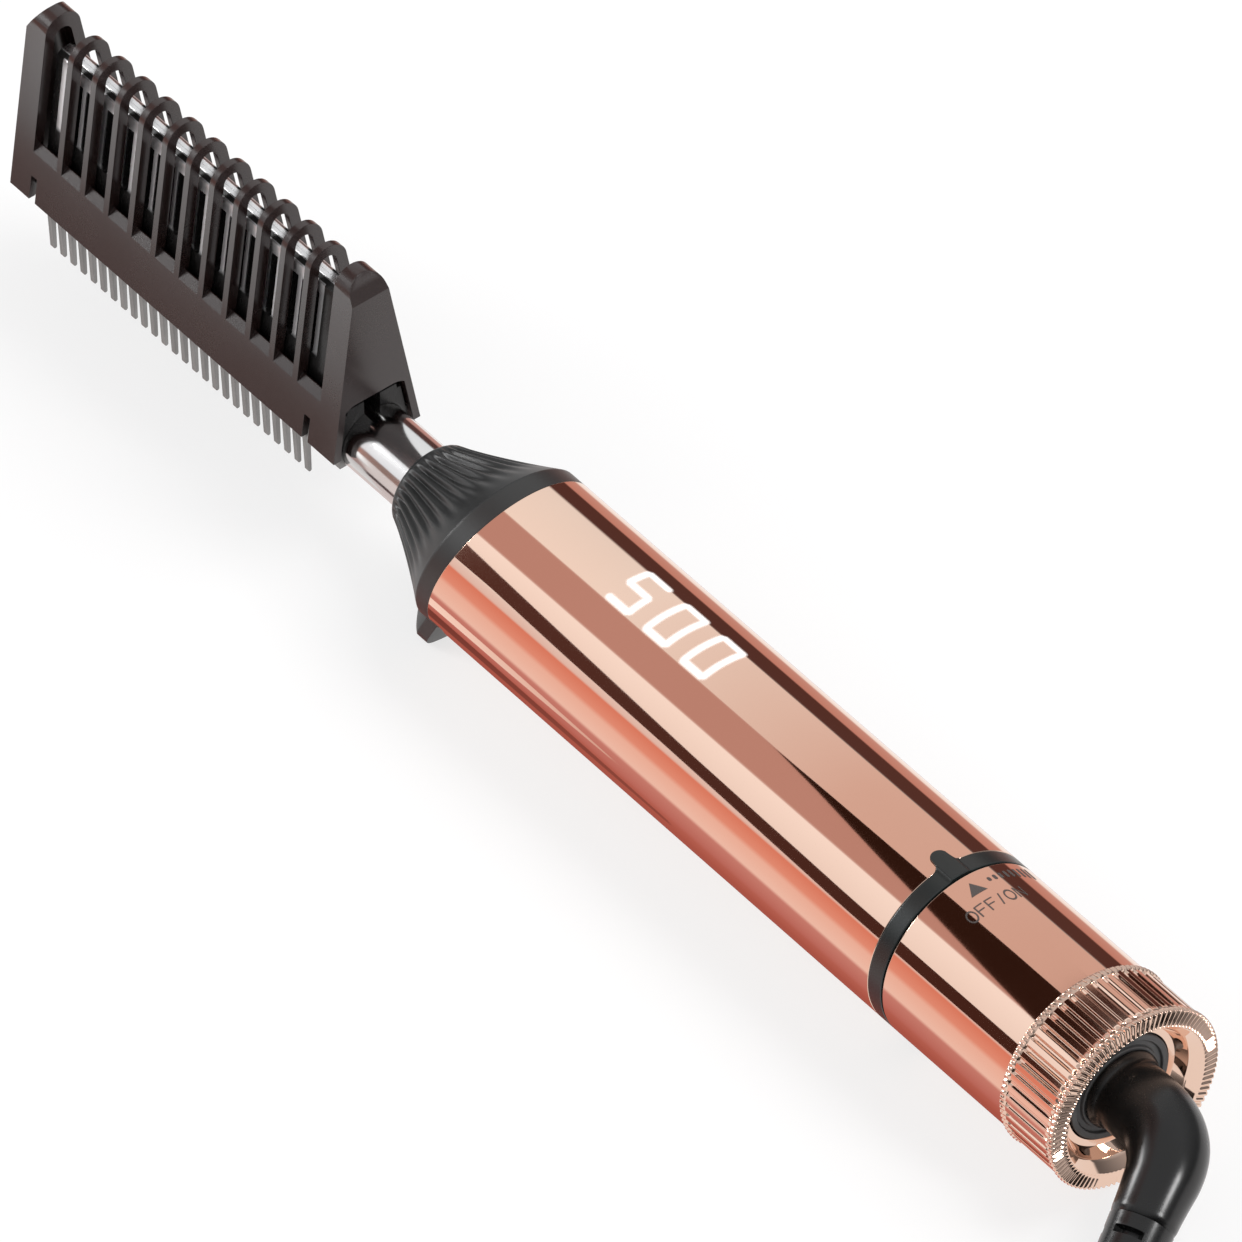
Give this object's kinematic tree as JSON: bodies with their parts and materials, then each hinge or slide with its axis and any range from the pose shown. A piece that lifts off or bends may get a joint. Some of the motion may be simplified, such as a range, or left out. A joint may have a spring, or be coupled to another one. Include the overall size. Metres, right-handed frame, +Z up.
{
  "type": "electric hot comb",
  "caption": "Electric hot comb: slotted aluminium comb in a ribbed slip-on guard, fluted collar, round rose gold handle, heat dial with knurled cap and swivelling mains lead.",
  "frame": {"origin": "centre of the handle's footprint, on the surface that the foot and the cap's rim rest on", "axes": "+X along the handle towards the mains lead, +Z up (the comb's back), -Z the way the teeth point"},
  "size_m": [0.4021, 0.0988, 0.0514],
  "materials": {
    "rose_metal": "mirror polished rose gold plating",
    "guard_plastic": "satin moulded, heat resistant",
    "comb_metal": "polished casting",
    "collar_plastic": "satin, fluted",
    "black_plastic": "semi-gloss",
    "elbow_black": "smooth gloss",
    "cord_black": "smooth sheath",
    "tie_fabric": "woven hook-and-loop strap",
    "plug_black": "satin moulded",
    "brass": "bright",
    "steel": "bright",
    "disc_grey": "satin",
    "inner_plastic": "moulded",
    "heat_resin": "moulded",
    "heater_stone": "pressed, with aluminium plates",
    "heater_film": "amber film",
    "sensor_glass": "sealed bead",
    "lead_red": "silicone sleeve",
    "lead_blue": "silicone sleeve",
    "board_green": "solder mask",
    "display_white": "diffuser",
    "part_blue": "component cases"
  },
  "bodies": {
    "handle": {"comb_guard": "guard_plastic", "comb_half_near": "comb_metal", "comb_half_far": "comb_metal", "comb_screws": "steel", "ptc_heater": "heater_stone", "heater_insulation": "heater_film", "thermistor": "sensor_glass", "thermal_fuse": "steel", "heater_leads": "lead_red", "neck_tube": "rose_metal", "neck_bush": "heat_resin", "collar": "collar_plastic", "barrel_front": "rose_metal", "chassis": "inner_plastic", "main_board": "board_green", "display_module": "display_white", "power_parts": "part_blue", "index_ring": "black_plastic", "track_board": "board_green", "detent_spring": "steel", "spindle": "inner_plastic", "end_disc": "disc_grey", "contact_carrier": "heat_resin", "contact_springs": "brass", "supply_leads": "lead_blue"},
    "dial": {"dial_sleeve": "rose_metal", "knurled_cap": "rose_metal", "dial_hub": "inner_plastic", "wiper_ring": "brass"},
    "cord_swivel": {"cord_elbow": "elbow_black", "swivel_pin": "brass", "strain_relief": "elbow_black", "cord_lead": "cord_black", "cord_coil": "cord_black", "cord_tail": "cord_black", "cord_tie": "tie_fabric", "plug_body": "plug_black", "plug_blades": "brass"}
  },
  "joints": [
    {"name": "dial_turn", "type": "hinge", "parent": "handle", "child": "dial", "pos_m": [0.1, 0, 0.0166], "axis": [1, 0, 0], "range_deg": [0, 270]},
    {"name": "cord_swivel_turn", "type": "hinge", "parent": "handle", "child": "cord_swivel", "pos_m": [0.1318, 0, 0.0166], "axis": [1, 0, 0], "continuous": true}
  ]
}
